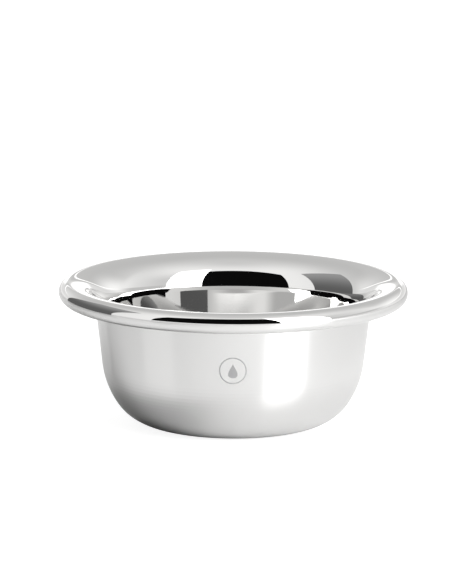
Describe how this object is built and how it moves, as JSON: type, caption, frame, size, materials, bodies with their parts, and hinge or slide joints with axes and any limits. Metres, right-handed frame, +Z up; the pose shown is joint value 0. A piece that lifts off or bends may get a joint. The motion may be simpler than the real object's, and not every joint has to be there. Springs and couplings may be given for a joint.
{
  "type": "shaving bowl",
  "caption": "Round double-walled metal shaving bowl with a wide flared brim, a rolled bead edge and a flat recessed base with a non-slip pad.",
  "frame": {"origin": "centre of the face that the bowl stands on", "axes": "+Z up along the bowl's axis of revolution; X and Y are interchangeable, with -Y the side that carries the etched mark in the visual model"},
  "size_m": [0.13, 0.13, 0.0534],
  "materials": {
    "bright_chrome_liner": "mirror-polished, with fine spin marks on the floor",
    "bright_chrome_body": "mirror-polished",
    "plain_steel_wire": "drawn wire, uncoated",
    "spacer_plastic": "matte, moulded",
    "plug_rubber": "matte",
    "pad_rubber": "matte, fine grain"
  },
  "bodies": {
    "root": {"inner_bowl": "bright_chrome_liner", "outer_shell": "bright_chrome_body", "rim_wire": "plain_steel_wire", "base_spacer": "spacer_plastic", "vent_plug": "plug_rubber", "foot_pad": "pad_rubber"}
  },
  "joints": []
}
